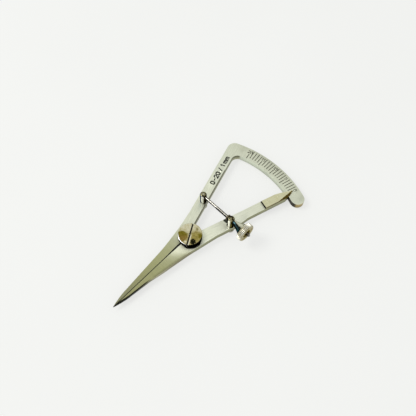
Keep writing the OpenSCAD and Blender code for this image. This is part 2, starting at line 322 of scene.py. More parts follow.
def scale_arm_line(f, top, lean):
    """Painted shade: a dark khaki line along the inner edge of the scale arm, where its side face
    is in shade.
    """
    across, along = arm_place(f, lean, sideways=True), arm_place(f, lean)
    line = f.times(f.fade_mm(across, 1.72, 1.86), f.fade_mm(across, 4, 3),
                   f.fade_mm(along, 32.5, 31), f.fade_mm(along, 4, 5))
    return f.mix(top, shown(84, 80, 54), f.times(line, 0.9))


def pointer_slant(f):
    """Shift that sets the painted sheen, a pale patch on the pointer's blade, aslant."""
    slant = f.less(1.8 * MM, f.times(f.less(f.x, SEAM_X * MM), 1.1))
    return f.times(slant, f.fade_mm(f.y, -3, -5))


def pointer_flank_shade(f):
    """Painted shade: tone that the pointer's blade loses towards its outer edge."""
    on_flank = f.times(f.fade_mm(f.y, -5, -7), f.fade_mm(f.y, -21, -19))
    to_edge = f.less(f.line(0.159, 4.995), f.x)
    return f.times(on_flank, f.fade_mm(to_edge, 0.9, 0.1, 0.0, 0.28))


def pointer_marks(f, top, lean):
    """Painted shade on the pointer leg: a dark patch beside the pillar, a painted shadow line
    before the plate, and a dark band along the edge near the tip.
    """
    # Painted shade: a dark patch on the arm beside the right pillar.
    pillar_shade = f.math("MAXIMUM", f.spot((4.75, 14.1), 0.6, 1.1),
                    f.math("MAXIMUM", f.spot((5.5, 14.1), 0.5, 1.1),
                           f.spot((6.8, 13.2), 0.3, 0.9)))
    top = f.mix(top, (0.012, 0.016, 0.011), f.times(pillar_shade, 0.97))
    # Painted shadow: a dark line across the arm just before the plate.
    top = f.mix(top, (0.014, 0.012, 0.008), f.fade_mm(arm_place(f, lean), 30.10, 30.26))
    # Painted shade: a dark band on the top along the blade's outer edge near the tip, where the
    # blade's wall shows dark.
    edge = f.math("MINIMUM", f.line(0.10625, 3.8375), f.line(0.2015, 6.695))
    edge_shade = f.times(f.fade_mm(f.less(edge, f.x), 0.50, 0.34), f.fade_mm(f.y, -20.5, -24))
    return f.mix(top, (0.012, 0.012, 0.009), edge_shade)


def shade_under_head(f, top):
    """A dark crescent on the side of the screw head that faces the camera."""
    below = f.over(f.dot(f.x, f.y, (0.85, -0.52)), 4.4 * MM)
    shade_r = f.fade(below, 0.60, 1.0, 4.42 * MM, 4.90 * MM)
    under = f.fade_mm(f.less(f.length(f.x, f.y), shade_r), 0.06, -0.06)
    return f.mix(top, (0.010, 0.010, 0.008),
                 f.times(under, f.fade(below, 0.30, 0.60, 0.30, 0.98)))


def leg_walls(f, is_scale):
    """Walls take on what they face, as painted reflection and painted shade. Beyond the pivot,
    the scale leg's inner ones are palest.
    """
    # Painted reflection: walls that face -y come out paler.
    mid = f.mix(shown(152, 153, 120), shown(164, 165, 142), f.fade(f.nx, 0.2, -0.6))
    wall = f.mix(mid, shown(188, 190, 172), f.fade(f.ny, -0.45, -0.88))
    # Painted shade by height: lighter at the top of a wall, darker at its foot.
    depth = f.fade_mm(f.z, TOP, UNDER, 1.12, 0.80)
    if is_scale:
        beyond = f.fade_mm(f.y, 3, 5)
        # Painted reflection: the inner walls beyond the pivot are pale.
        inner = f.times(beyond, f.fade(f.ny, -0.55, -0.9))
        wall = f.mix(wall, shown(212, 218, 200), f.times(inner, 0.9))
        # Painted shade: walls beyond the pivot that turn to the right are darker.
        turned_right = f.times(beyond, f.fade(f.nx, 0.25, 0.6))
        wall = f.mix(wall, shown(152, 153, 126), turned_right)
        # Painted shadow of the pointer on the arc's inner wall.
        pointer_shadow = f.times(f.fade_mm(f.x, 13.2, 14.2), f.fade_mm(f.y, 41.5, 40.5))
        wall = f.mix(wall, (0.020, 0.015, 0.007), f.times(pointer_shadow, 0.97))
        cap = f.times(f.fade_mm(f.x, 16.6, 18.2), f.fade(f.nx, 0.2, 0.6))
        wall = f.mix(wall, shown(176, 158, 110), cap)
        # Painted shade: where x is below 14 mm, those walls are dark at the top and light at the
        # foot.
        darker_top = f.fade_mm(f.z, TOP - 0.1, UNDER + 0.4, 0.42, 1.25)
        depth = f.between(depth, darker_top, f.times(turned_right, f.fade_mm(f.x, 14, 12)))
    # Painted reflection and painted shade on the blades' outward walls, by y.
    wall = f.mix(wall, f.ramp(f.y, palette(OUTER_WALL, MM)),
                 f.times(f.fade_mm(f.y, -2, -5), f.fade(f.nx, -0.2, 0.4)))
    return f.scaled(wall, depth)


def seam_grime(f):
    """Share of grime beside the parting line, narrower towards the tips."""
    off_seam = f.math("ABSOLUTE", f.less(f.x, SEAM_X * MM))
    reach = f.fade_mm(f.y, -13, -6, 0.13 * MM, 0.34 * MM)
    return f.times(f.fade_mm(f.less(off_seam, reach), 0.06, -0.04), f.fade_mm(f.y, -3.9, -4.3))


def leg_finish(name, lean, tops, is_scale):
    """Satin steel, ground lengthwise on the arms and crosswise on the blades."""
    f = Finish(name)
    crosswise = f.noise((500, 5200, 2600), detail=6.0, seed=3.1)
    lengthwise = f.noise((5200, 260, 2600), detail=5.0, seed=7.7, turn=lean)
    grain = f.between(lengthwise, crosswise, f.fade_mm(f.y, -4, -9))
    cloud = f.noise((210, 170, 200), detail=4.0, seed=1.3)
    place = f.add(f.y, f.swing(cloud, 5 * MM))
    tone = f.less(1.10, f.times(f.fade(grain, 0.3, 0.7), 0.16))
    tone = f.less(tone, f.fade(cloud, 0.48, 0.72, 0.0, 0.07))
    if is_scale:
        tone = f.less(tone, arc_wear(f))
        top = scale_arm_line(f, f.ramp(place, palette(tops, MM)), lean)
    else:
        place = f.add(place, pointer_slant(f))
        tone = f.less(tone, pointer_flank_shade(f))
        top = pointer_marks(f, f.ramp(place, palette(tops, MM)), lean)
    top = shade_under_head(f, f.scaled(top, tone))
    wall = f.scaled(leg_walls(f, is_scale), f.fade(cloud, 0.3, 0.7, 1.08, 0.9))
    colour = f.mix(top, wall, f.fade(f.math("ABSOLUTE", f.nz), 0.88, 0.45))
    colour = f.mix(colour, (0.012, 0.011, 0.009), seam_grime(f))
    rough = f.uneven(f.fade_mm(f.y, -2, -20, 0.40, 0.30), grain, 0.12)
    return f.done(colour, rough, grain, depth=5e-6, strength=0.35)


def plate_finish():
    """Warm satin steel. The walls and the long facet beside the pointer are brown, and the wall
    that faces back is near black, as painted shade.
    """
    f = Finish("warm_satin_steel")
    grain = f.noise((4800, 500, 2500), detail=5.0, seed=11.0, turn=ARM_LEAN)
    cloud = f.noise(260, detail=4.0, seed=2.0)
    top = f.mix(shown(222, 220, 187), shown(208, 205, 168), f.fade(grain, 0.3, 0.7))
    top = f.mix(top, shown(202, 194, 150), f.fade(cloud, 0.5, 0.75, 0.0, 0.6))
    facet = f.mix(shown(120, 104, 48), shown(84, 70, 26), f.fade(cloud, 0.36, 0.62))
    # Painted shade: the step wall that faces back is near black.
    back = f.mix(shown(20, 17, 10), shown(8, 7, 5), f.fade(cloud, 0.36, 0.62))
    edge = f.mix(facet, back, f.fade(f.ny, -0.5, -0.8))
    colour = f.mix(top, edge, f.fade(f.nz, 0.93, 0.80))
    return f.done(colour, f.uneven(0.34, grain, 0.14), grain, depth=4e-6, strength=0.3)


def engraving_finish():
    f = Finish("filled_engraving", metallic=0.0)
    f.bsdf.inputs["Specular IOR Level"].default_value = 0.2
    speck = f.noise(6000, detail=3.0, seed=5.0)
    colour = f.mix((0.02, 0.019, 0.014), (0.006, 0.006, 0.005), f.fade(speck, 0.35, 0.65))
    return f.done(colour, f.uneven(0.6, speck, 0.2), speck)


def graduation_finish():
    """The graduations are filled less than the lettering, and some are worn."""
    f = Finish("worn_graduation", metallic=0.2)
    speck = f.noise(900, detail=4.0, seed=15.0)
    colour = f.mix((0.034, 0.033, 0.018), (0.095, 0.09, 0.055), f.fade(speck, 0.4, 0.7))
    return f.done(colour, f.uneven(0.5, speck, 0.2), speck)


def stained_face(f, small):
    """The screw's face: pale at its top and darker towards the camera's side as painted shade,
    with khaki, olive and brown stains and a black spot of painted reflection near the rim.
    """
    blot = f.noise(520, detail=5.0, seed=4.2, rough=0.62)
    uneven = f.fade(small, 0.35, 0.68)
    brown = f.mix(shown(150, 128, 66), shown(122, 98, 44), uneven)
    khaki = f.mix(shown(170, 156, 84), shown(134, 120, 56), uneven)
    olive = f.mix(shown(132, 122, 44), shown(112, 100, 26), uneven)
    pale = f.mix(shown(226, 221, 194), shown(206, 198, 158), f.fade(small, 0.35, 0.7))
    down = f.dot(f.x, f.y, TO_CAMERA)
    # Painted shade: the face darkens towards the camera's side.
    face = f.mix(pale, shown(182, 168, 112), f.fade_mm(down, -2.4, 1.6, 0.0, 0.95))
    face = f.mix(face, shown(176, 164, 104), f.fade(blot, 0.50, 0.66, 0.0, 0.7))
    brown = f.mix(olive, brown, f.fade_mm(down, -0.4, 1.6))
    for colour, centre, inner, outer, share in (
        (khaki, (2.2, 0.9), 1.4, 2.8, 0.9),
        (brown, (-1.6, -2.8), 1.9, 2.7, 1.0),
        (olive, (0.45, 3.2), 0.2, 0.9, 0.8),
        (olive, (3.35, 2.05), 0.5, 1.4, 1.0),
        (shown(232, 226, 196), (0.95, -3.45), 0.2, 0.9, 0.9),
    ):
        face = f.mix(face, colour, f.times(f.spot(centre, inner, outer, blot), share))
    # Painted reflection: a black spot near the rim.
    return f.mix(face, (0.012, 0.012, 0.005), f.spot((3.0, -1.5), 0.75, 1.35, small))


def screw_finish():
    """Polished nickel with a stained face and painted light: a painted glint, a black arc of
    painted reflection near its rim, a painted highlight beside the slot, and a rim painted dark
    on the camera's side and bright at the lower left.
    """
    f = Finish("stained_nickel", grazing=0.15)
    small = f.noise(1500, detail=4.0, seed=9.4)
    lines = f.noise((9000, 500, 9000), detail=3.0, seed=6.0, turn=30.0)
    out = f.length(f.x, f.y)
    lower_left = f.over(f.dot(f.x, f.y, (-0.22, -0.975)), out)
    lower_right = f.over(f.dot(f.x, f.y, (0.94, -0.34)), out)
    # Painted highlight: a glint inside the rim at the lower left.
    glint = f.times(f.fade_mm(out, HEAD_R - 0.30, HEAD_R - 0.18), f.fade(lower_left, 0.76, 0.92))
    # Painted reflection: a black arc inside the rim at the lower right.
    black = f.times(f.fade_mm(out, HEAD_R - 0.26, HEAD_R - 0.14), f.fade(lower_right, 0.60, 0.80))
    face = f.mix(stained_face(f, small), shown(248, 249, 252), glint)
    face = f.mix(face, (0.012, 0.012, 0.008), black)
    beside_slot = f.less(f.dot(f.x, f.y, (0.866, 0.5)), 0.5 * MM)
    along_slot = f.dot(f.x, f.y, (-0.5, 0.866))
    # Painted highlight beside the slot.
    lit = f.times(f.fade_mm(f.math("ABSOLUTE", beside_slot), 0.26, 0.16),
                  f.fade_mm(along_slot, 0.2, -0.9))
    face = f.mix(face, shown(236, 230, 202), f.times(lit, 0.85))
    rim = f.mix(shown(226, 223, 204), shown(190, 186, 164), f.fade(small, 0.4, 0.7))
    # Painted reflection on the rim: dark on the camera's side, bright at the lower left.
    rim = f.mix(rim, (0.010, 0.009, 0.007), f.fade(f.dot(f.nx, f.ny, TO_CAMERA), -0.12, 0.1))
    rim = f.mix(rim, shown(246, 247, 250),
                f.times(f.fade(lower_left, 0.72, 0.9), f.fade(f.nz, 0.15, 0.4)))
    colour = f.mix(face, rim, f.fade(f.nz, 0.93, 0.75))
    return f.done(colour, f.uneven(0.17, lines, 0.10), lines, depth=1.5e-6, strength=0.25)


# Display colours round a pillar, by the share of a turn: painted reflections
LEFT_STREAKS = (
    (0.0, (24, 66, 84)), (0.14, (58, 126, 154)), (0.27, (30, 74, 92)), (0.31, (252, 252, 250)),
    (0.50, (248, 248, 244)), (0.54, (118, 110, 82)), (0.60, (22, 20, 13)), (0.85, (10, 11, 9)),
    (1.0, (24, 66, 84)),
)
RIGHT_STREAKS = (
    (0.0, (18, 24, 20)), (0.16, (24, 32, 28)), (0.20, (252, 252, 249)), (0.36, (250, 250, 246)),
    (0.42, (120, 114, 68)), (0.55, (98, 92, 48)), (0.60, (14, 14, 10)), (0.92, (10, 10, 8)),
    (1.0, (18, 24, 20)),
)
STREAK_TURN = 0.5 + 46.5 / 180  # where the painted reflection streaks begin, in half turns


def chrome_finish(name, centre, seed, streaks):
    """Bright plating whose painted reflections, dark and pale streaks, run up and down a turned
    post.
    """
    f = Finish(name, grazing=0.15)
    turn = f.over(f.math("ARCTAN2", f.less(f.y, centre.y * MM), f.less(f.x, centre.x * MM)), PI)
    wobble = f.noise((700, 700, 500), detail=3.0, seed=seed)
    turn = f.math("FRACT", f.add(f.add(turn, f.swing(wobble, 0.22)), 1.0 + STREAK_TURN))
    side = f.ramp(turn, palette(streaks))
    blot = f.noise(1100, detail=3.0, seed=seed + 4)
    cap = f.mix(shown(158, 153, 118), shown(44, 39, 22), f.fade(blot, 0.42, 0.56))
    colour = f.mix(side, cap, f.fade(f.nz, 0.45, 0.75))
    haze = f.noise(2600, detail=4.0, seed=seed + 2)
    colour = f.scaled(colour, f.fade(haze, 0.35, 0.75, 1.05, 0.85))
    return f.done(colour, f.uneven(0.09, haze, 0.1), haze, depth=1e-6, strength=0.15)


TURNED_RINGS = (14000, 700, 700)


def turned_finish(name, light, dark, rough, seed):
    """Steel turned about the spindle's axis: fine rings under haze."""
    f = Finish(name)
    rings = f.noise(TURNED_RINGS, detail=3.0, seed=seed)
    haze = f.noise(900, detail=4.0, seed=seed + 1)
    colour = f.mix(light, dark, f.fade(rings, 0.35, 0.7, 0.0, 0.5))
    colour = f.mix(colour, dark, f.fade(haze, 0.48, 0.72, 0.0, 0.8))
    return f.done(colour, f.uneven(rough, haze, 0.12), rings, depth=2e-6, strength=0.25)


def spindle_finish():
    """Painted reflection and painted shade: bright above, with a grey flank behind and a black
    one in front.
    """
    f = Finish("drawn_spindle", grazing=0.15)
    rings = f.noise(TURNED_RINGS, detail=3.0, seed=2.0)
    haze = f.noise(900, detail=4.0, seed=3.0)
    run = f.times(f.less(f.x, LEFT.x * MM), math.tan(SPINDLE_TURN))
    y = f.less(f.less(f.y, LEFT.y * MM), run)
    z = f.less(f.z, SPINDLE_Z * MM)
    side = f.add(f.over(y, f.length(y, z)), f.swing(haze, 0.12))
    colour = f.ramp(side, [(-1.1, (0.006, 0.005, 0.005)), (-0.50, (0.007, 0.006, 0.006)),
                           (-0.38, shown(222, 219, 210)), (-0.12, shown(226, 222, 212)),
                           (0.0, shown(150, 145, 133)), (0.40, shown(128, 122, 108)),
                           (0.75, shown(96, 90, 76)), (1.1, shown(80, 74, 60))])
    colour = f.scaled(colour, f.fade(rings, 0.35, 0.7, 1.0, 0.86))
    return f.done(colour, f.uneven(0.18, haze, 0.12), rings, depth=2e-6, strength=0.2)


def neck_finish():
    """Polished, with painted reflection and painted shade: pale above, near black below with a
    thin cool streak of painted reflection, and a brown hub.
    """
    f = Finish("polished_neck", grazing=0.15)
    haze = f.noise(900, detail=4.0, seed=5.0)
    # Painted shade: the dark side widens towards the pillar.
    side = f.less(f.add(f.ny, f.swing(haze, 0.5)), f.fade_mm(f.x, 11.5, 8.4, 0.0, 0.55))
    colour = f.ramp(side, [(-1.6, (0.010, 0.013, 0.011)), (-0.98, (0.012, 0.016, 0.014)),
                           (-0.80, shown(34, 56, 62)), (-0.70, shown(56, 86, 92)),
                           (-0.60, (0.014, 0.022, 0.022)), (-0.30, (0.020, 0.022, 0.012)),
                           (-0.12, shown(206, 205, 180)), (0.4, shown(226, 226, 206)),
                           (0.75, shown(206, 206, 182)), (1.6, shown(150, 148, 116))])
    hub_x = RIGHT.x + (WHEEL_END - 0.5) * math.cos(SPINDLE_TURN)
    hub = f.mix(shown(180, 168, 124), shown(136, 124, 80), f.fade(haze, 0.35, 0.65))
    colour = f.mix(colour, hub, f.fade_mm(f.x, hub_x, hub_x + 0.2))
    return f.done(colour, f.uneven(0.1, haze, 0.1), haze, depth=1e-6, strength=0.15)


def wheel_finish():
    """Satin nickel: bright crests with spots of painted highlight, dull brown roots, and darker
    rims.
    """
    f = Finish("satin_knurled_wheel")
    far = f.length(f.less(f.y, WHEEL_MIDDLE.y), f.less(f.z, WHEEL_MIDDLE.z))
    blot = f.noise(700, detail=3.0, seed=8.0)
    haze = f.noise(2400, detail=3.0, seed=21.0)
    crest = f.mix(shown(240, 238, 228), shown(202, 198, 178), f.fade(blot, 0.42, 0.62))
    # Painted highlight: white spots on the crests.
    crest = f.mix(crest, shown(252, 252, 252), f.fade(blot, 0.42, 0.32))
    root = f.mix(shown(176, 172, 152), shown(132, 126, 100), f.fade(haze, 0.4, 0.65))
    colour = f.mix(root, crest, f.fade_mm(far, WHEEL_R - 0.17, WHEEL_R - 0.05))
    rim = f.mix(shown(206, 202, 180), shown(160, 152, 116), f.fade(blot, 0.4, 0.6))
    colour = f.mix(colour, rim, f.fade(f.math("ABSOLUTE", f.nx), 0.35, 0.7))
    return f.done(colour, f.uneven(0.22, haze, 0.12), haze, depth=2e-6, strength=0.25)


def grime_finish():
    # Painted shade: a near-black finish for the insides of the slot and the bores.
    f = Finish("painted_recess_shade", metallic=0.6)
    speck = f.noise(3000, detail=4.0, seed=8.0)
    colour = f.mix((0.07, 0.055, 0.028), (0.02, 0.016, 0.010), f.fade(speck, 0.35, 0.65))
    return f.done(colour, f.uneven(0.42, speck, 0.2), speck)


FLOOR_GLOW = 0.64


def floor_finish():
    """A lightly glowing white sweep, so that shadows on it stay faint."""
    f = Finish("pale_floor", metallic=0.0)
    f.bsdf.inputs["Specular IOR Level"].default_value = 0.0
    f.bsdf.inputs["Emission Color"].default_value = (1.0, 1.0, 0.995, 1.0)
    f.bsdf.inputs["Emission Strength"].default_value = FLOOR_GLOW
    cloud = f.noise(6, detail=3.0, seed=1.0)
    colour = f.mix((0.235, 0.24, 0.23), (0.225, 0.23, 0.22), f.fade(cloud, 0.35, 0.7))
    return f.done(colour, f.uneven(0.8, cloud, 0.1))


LEG_LEFT = leg_finish("satin_scale_leg", -ARM_LEAN, SCALE_TOP, True)
LEG_RIGHT = leg_finish("satin_pointer_leg", ARM_LEAN, POINTER_TOP, False)
PLATE = plate_finish()
ENGRAVING = engraving_finish()
GRADUATION = graduation_finish()
SCREW = screw_finish()
RECESS_SHADE = grime_finish()
CHROME_LEFT = chrome_finish("chrome_left_pillar", LEFT, 3.0, LEFT_STREAKS)
CHROME_RIGHT = chrome_finish("chrome_right_pillar", RIGHT, 6.5, RIGHT_STREAKS)
SPINDLE = spindle_finish()
NECK = neck_finish()
WHEEL = wheel_finish()
WHEEL_FACE = turned_finish("wheel_end_face", shown(182, 172, 130), shown(128, 116, 74),
                           0.28, 9.0)
HIDDEN = turned_finish("plain_steel", (0.62, 0.61, 0.55), (0.44, 0.43, 0.37), 0.30, 12.0)
STUB = turned_finish("dark_spindle_end", (0.15, 0.125, 0.075), (0.05, 0.042, 0.026), 0.30, 14.0)


# ---------------------------------------------------------------- meshes


def polar(r, degrees):
    return Vector((r * math.cos(math.radians(degrees)), r * math.sin(math.radians(degrees))))


def ring(bm, r, z, count):
    """Corners of a circle about Z."""
    return [bm.verts.new((r * math.cos(2 * PI * k / count), r * math.sin(2 * PI * k / count), z))
            for k in range(count)]


def revolve(profile, segments=72, closed=False):
    """A turned mesh about Z from (radius, height) points. A radius of 0 closes it on the axis."""
    bm = bmesh.new()
    rings = []
    for r, z in profile:
        if r < 1e-6:
            rings.append([bm.verts.new((0, 0, z))])
        else:
            rings.append(ring(bm, r, z, segments))
    pairs = list(zip(rings, rings[1:])) + ([(rings[-1], rings[0])] if closed else [])
    for a, b in pairs:
        for k in range(segments):
            m = (k + 1) % segments
            if len(a) == 1:
                bm.faces.new((a[0], b[m], b[k]))
            elif len(b) == 1:
                bm.faces.new((a[k], a[m], b[0]))
            else:
                bm.faces.new((a[k], a[m], b[m], b[k]))
    bmesh.ops.recalc_face_normals(bm, faces=bm.faces)
    return bm


def round_corner(centre_r, centre_z, radius, start, end, steps=5):
    """Points of a quarter round on a profile."""
    return [
        (centre_r + radius * math.cos(a), centre_z + radius * math.sin(a))
        for a in (math.radians(start + (end - start) * k / steps) for k in range(steps + 1))
    ]


def cad_copy(node, width, keep=None, angle=28, segments=2):
    """The node's own shape, in millimetres, with its hard edges broken by a real bevel."""
    bm = bmesh.new()
    bm.from_mesh(frame["nodes"][node].data)
    bmesh.ops.scale(bm, vec=(1 / MM, 1 / MM, 1 / MM), verts=bm.verts)
    bmesh.ops.remove_doubles(bm, verts=bm.verts, dist=2e-4)
    bmesh.ops.dissolve_limit(bm, angle_limit=math.radians(0.4), verts=bm.verts, edges=bm.edges)
    hard = [
        e
        for e in bm.edges
        if e.is_manifold
        and e.calc_face_angle() > math.radians(angle)
        and (keep is None or not keep(e))
    ]
    bmesh.ops.bevel(bm, geom=hard, offset=width, segments=segments, profile=0.55,
                    affect="EDGES", clamp_overlap=True)
    return bm


def smooth(bm, angle=30):
    for face in bm.faces:
        face.smooth = True
    for e in bm.edges:
        e.smooth = not (e.is_manifold and e.calc_face_angle() > math.radians(angle))


def to_object(name, bm, materials, place=None, angle=30):
    """Turns a mesh in millimetres into an object whose coordinates are the frame's, in metres."""
    if place is not None:
        bm.transform(place)
    bmesh.ops.scale(bm, vec=(MM, MM, MM), verts=bm.verts)
    smooth(bm, angle)
    mesh = bpy.data.meshes.new(name)
    bm.to_mesh(mesh)
    bm.free()
    for m in materials:
        mesh.materials.append(m)
    obj = bpy.data.objects.new(name, mesh)
    bpy.context.scene.collection.objects.link(obj)
    return obj


def flatten_normals(obj):
    """Keeps large faces flat beside their narrow bevels."""
    m = obj.modifiers.new("flat_faces", "WEIGHTED_NORMAL")
    m.keep_sharp = True
    m.weight = 80
    return obj


def cut(obj, cutter_bm, name, index=1):
    """Cuts the cutter out of obj for good. Cut faces take the material obj has at index."""
    cutter = to_object(name, cutter_bm, obj.data.materials)
    for p in cutter.data.polygons:
        p.material_index = index
    m = obj.modifiers.new("cut", "BOOLEAN")
    m.operation = "DIFFERENCE"
    m.solver = "EXACT"
    m.use_self = True
    m.object = cutter
    seen = bpy.context.evaluated_depsgraph_get()
    result = bpy.data.meshes.new_from_object(obj.evaluated_get(seen))
    obj.modifiers.clear()
    old = obj.data
    obj.data = result
    bpy.data.meshes.remove(old)
    bpy.data.objects.remove(cutter)
    return obj


def put(obj, node):
    """obj stands for a CAD node: the node is hidden and obj rides on the same body."""
    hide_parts(node)
    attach(obj, BODY_OF[node])
    return obj


# ---------------------------------------------------------------- engraving

# Strokes of each character, on a grid that is CHARACTER_H high
CHARACTER_H = 6
STROKES = {
    "0": [[(1, 0), (3, 0), (4, 1.3), (4, 4.7), (3, 6), (1, 6), (0, 4.7), (0, 1.3), (1, 0)]],
    "1": [[(0.8, 4.8), (2.2, 6), (2.2, 0)]],
    "2": [[(0, 4.6), (0.8, 5.8), (2, 6), (3.3, 5.7), (4, 4.5), (3.4, 3.1), (0, 0), (4, 0)]],
    "5": [[(3.8, 6), (0.5, 6), (0.2, 3.3), (1.8, 3.8), (3.4, 3.2), (4, 2), (3.3, 0.5), (1.8, 0),
           (0.5, 0.3), (0, 1.1)]],
    "-": [[(0.6, 3), (3.4, 3)]],
    "/": [[(0.2, 0), (2.6, 6)]],
    "m": [[(0, 0), (0, 4)], [(0, 2.9), (0.9, 4), (1.8, 4), (2.4, 3.1), (2.4, 0)],
          [(2.4, 2.9), (3.3, 4), (4.2, 4), (4.8, 3.1), (4.8, 0)]],
    " ": [],
}
USUAL_ADVANCE, CHARACTER_GAP = 5.8, 1.8
ADVANCE = {"1": 4.2, "m": 6.6, "/": 4.6, " ": 2.6}


def lettering(bm, words, size, width, depth, place):
    """Adds cutters for a row of characters, centred on the origin and moved by place."""
    unit = size / CHARACTER_H
    total = sum(ADVANCE.get(c, USUAL_ADVANCE) for c in words) - CHARACTER_GAP
    x = -total / 2
    for c in words:
        for line in STROKES[c]:
            for a, b in zip(line, line[1:]):
                p = Vector((x + a[0], a[1] - CHARACTER_H / 2)) * unit
                q = Vector((x + b[0], b[1] - CHARACTER_H / 2)) * unit
                d = (q - p).normalized() * width / 2
                n = Vector((-d.y, d.x))
                corners = [p - d * 0.9 - n, q + d * 0.9 - n, q + d * 0.9 + n, p - d * 0.9 + n]
                low = [bm.verts.new(place @ Vector((k.x, k.y, -depth))) for k in corners]
                high = [bm.verts.new(place @ Vector((k.x, k.y, depth * 3))) for k in corners]
                bm.faces.new(low[::-1])
                bm.faces.new(high)
                for k in range(4):
                    m = (k + 1) % 4
                    bm.faces.new((low[k], low[m], high[m], high[k]))
        x += ADVANCE.get(c, USUAL_ADVANCE)


# ---------------------------------------------------------------- the two legs

TICK_IN, TICK_OUT = 41.95, 46.75
TIP_RADIUS = math.hypot(TIP_Y, SEAM_X)
ZERO_ANGLE, TICKS_END_ANGLE = 70.0, 104
LAST_NUMBER, NUMBER_STEP = 20, 5
NUMBER_R = 45.55
NUMBER_SIZE, NUMBER_STROKE, NUMBER_DEEP = 1.2, 0.19, 0.07
LABEL, LABEL_ALONG, LABEL_ASIDE = "0-20 / 1 mm", 16.1, 0.6
LABEL_SIZE, LABEL_STROKE, LABEL_DEEP = 1.7, 0.44, 0.08
ENGRAVED, GRADUATED = 1, 2  # places of these materials on the scale leg
LAP_R = 4.7
LEG_BEVEL = 0.09


def in_ticks(p):
    r = math.hypot(p.x, p.y)
    a = math.degrees(math.atan2(p.y, p.x))
    return TICK_IN < r < TICK_OUT and ZERO_ANGLE - 1 < a < TICKS_END_ANGLE


def at_lap(e):
    return all(math.hypot(v.co.x, v.co.y) < LAP_R for v in e.verts)


def leg_edge(e):
    return at_lap(e) or all(in_ticks(v.co) for v in e.verts)


bm = cad_copy("scale_leg", LEG_BEVEL, keep=leg_edge)
for face in bm.faces:
    c = face.calc_center_median()
    if in_ticks(c) and TOP - 0.2 < c.z < TOP - 0.004:
        face.material_index = GRADUATED
scale_leg = to_object("scale_leg_steel", bm, [LEG_LEFT, ENGRAVING, GRADUATION])

marks = bmesh.new()
for k in range(0, LAST_NUMBER + 1, NUMBER_STEP):
    angle = ZERO_ANGLE + 2 * math.degrees(math.asin(k / (2 * TIP_RADIUS)))
    spot = polar(NUMBER_R, angle)
    lettering(marks, str(k), NUMBER_SIZE, NUMBER_STROKE, NUMBER_DEEP,
              Matrix.Translation((spot.x, spot.y, TOP))
              @ Matrix.Rotation(math.radians(angle - 90), 4, "Z"))
cut(scale_leg, marks, "number_cutter", GRADUATED)

along_arm = polar(1, 90 + ARM_LEAN)
beside_arm = Vector((-along_arm.y, along_arm.x))
arm_spot = Vector((LEFT.x, LEFT.y)) + LABEL_ALONG * along_arm + LABEL_ASIDE * beside_arm
marks = bmesh.new()
lettering(marks, LABEL, LABEL_SIZE, LABEL_STROKE, LABEL_DEEP,
          Matrix.Translation((arm_spot.x, arm_spot.y, TOP))
          @ Matrix.Rotation(math.radians(90 + ARM_LEAN), 4, "Z"))
cut(scale_leg, marks, "letter_cutter", ENGRAVED)
put(flatten_normals(scale_leg), "scale_leg")

pointer_leg = to_object("pointer_leg_steel",
                        cad_copy("pointer_leg", LEG_BEVEL, keep=at_lap), [LEG_RIGHT])
put(flatten_normals(pointer_leg), "pointer_leg")

for node, name, width in (
    ("pointer_plate", "pointer_plate_steel", 0.12),
    ("keeper_plate", "keeper_plate_steel", 0.10),
    ("plate_rivets", "plate_rivet_heads", 0.05),
):
    put(flatten_normals(to_object(name, cad_copy(node, width), [PLATE])), node)


# ---------------------------------------------------------------- pivot

SEAT = TOP + 0.02
SHANK_R, JOURNAL_R = 1.5, 1.8
FOOT_ROUND, CROWN_ROUND = 0.18, 0.16
CROWN = 0.1  # rise of the head's domed face
SLOT_W, SLOT_DEEP, SLOT_ANGLE = 0.55, 0.8, 120
profile = [(0, 0), (SHANK_R - 0.08, 0), (SHANK_R, 0.08), (SHANK_R, UNDER), (JOURNAL_R, UNDER),
           (JOURNAL_R, SEAT), (HEAD_R - FOOT_ROUND, SEAT)]
profile += round_corner(HEAD_R - FOOT_ROUND, SEAT + FOOT_ROUND, FOOT_ROUND, -90, 0)
profile += round_corner(HEAD_R - CROWN_ROUND, HEAD_TOP - CROWN - CROWN_ROUND, CROWN_ROUND,
                        0, 82, 7)
profile += [(HEAD_R * s, HEAD_TOP - CROWN * s * s) for s in (0.85, 0.7, 0.5, 0.3, 0.15)]
profile += [(0, HEAD_TOP)]
screw = to_object("pivot_screw_nickel", revolve(profile, 120), [SCREW, RECESS_SHADE])
slot_bm = bmesh.new()
bmesh.ops.create_cube(slot_bm, size=1)
bmesh.ops.scale(slot_bm, vec=(4 * HEAD_R, SLOT_W, 2 * SLOT_DEEP), verts=slot_bm.verts)
slot_bm.transform(Matrix.Translation((0, 0, HEAD_TOP))
                  @ Matrix.Rotation(math.radians(SLOT_ANGLE), 4, "Z"))
cut(screw, slot_bm, "slot_cutter")
put(screw, "pivot_screw")

for node, name, width in (
    ("pivot_washer", "pivot_washer_steel", 0.05),
    ("pivot_nut", "pivot_nut_steel", 0.08),
    ("left_pillar_clip", "left_clip_steel", 0.08),
    ("right_pillar_clip", "right_clip_steel", 0.08),
    ("left_pillar_washer", "left_washer_steel", 0.04),
    ("right_pillar_washer", "right_washer_steel", 0.04),
    ("spindle_pin", "spindle_pin_steel", 0.04),
):
    put(flatten_normals(to_object(name, cad_copy(node, width), [HIDDEN])), node)


# ---------------------------------------------------------------- pillars

PILLAR_R = (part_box("left_pillar")[1].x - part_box("left_pillar")[0].x) / 2 / MM
SEAT_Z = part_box("left_pillar_washer")[1].z / MM
DOME_ROUND = 0.6
SPINDLE_HOLE_R, SPIGOT_HOLE_R = 0.62, 0.93


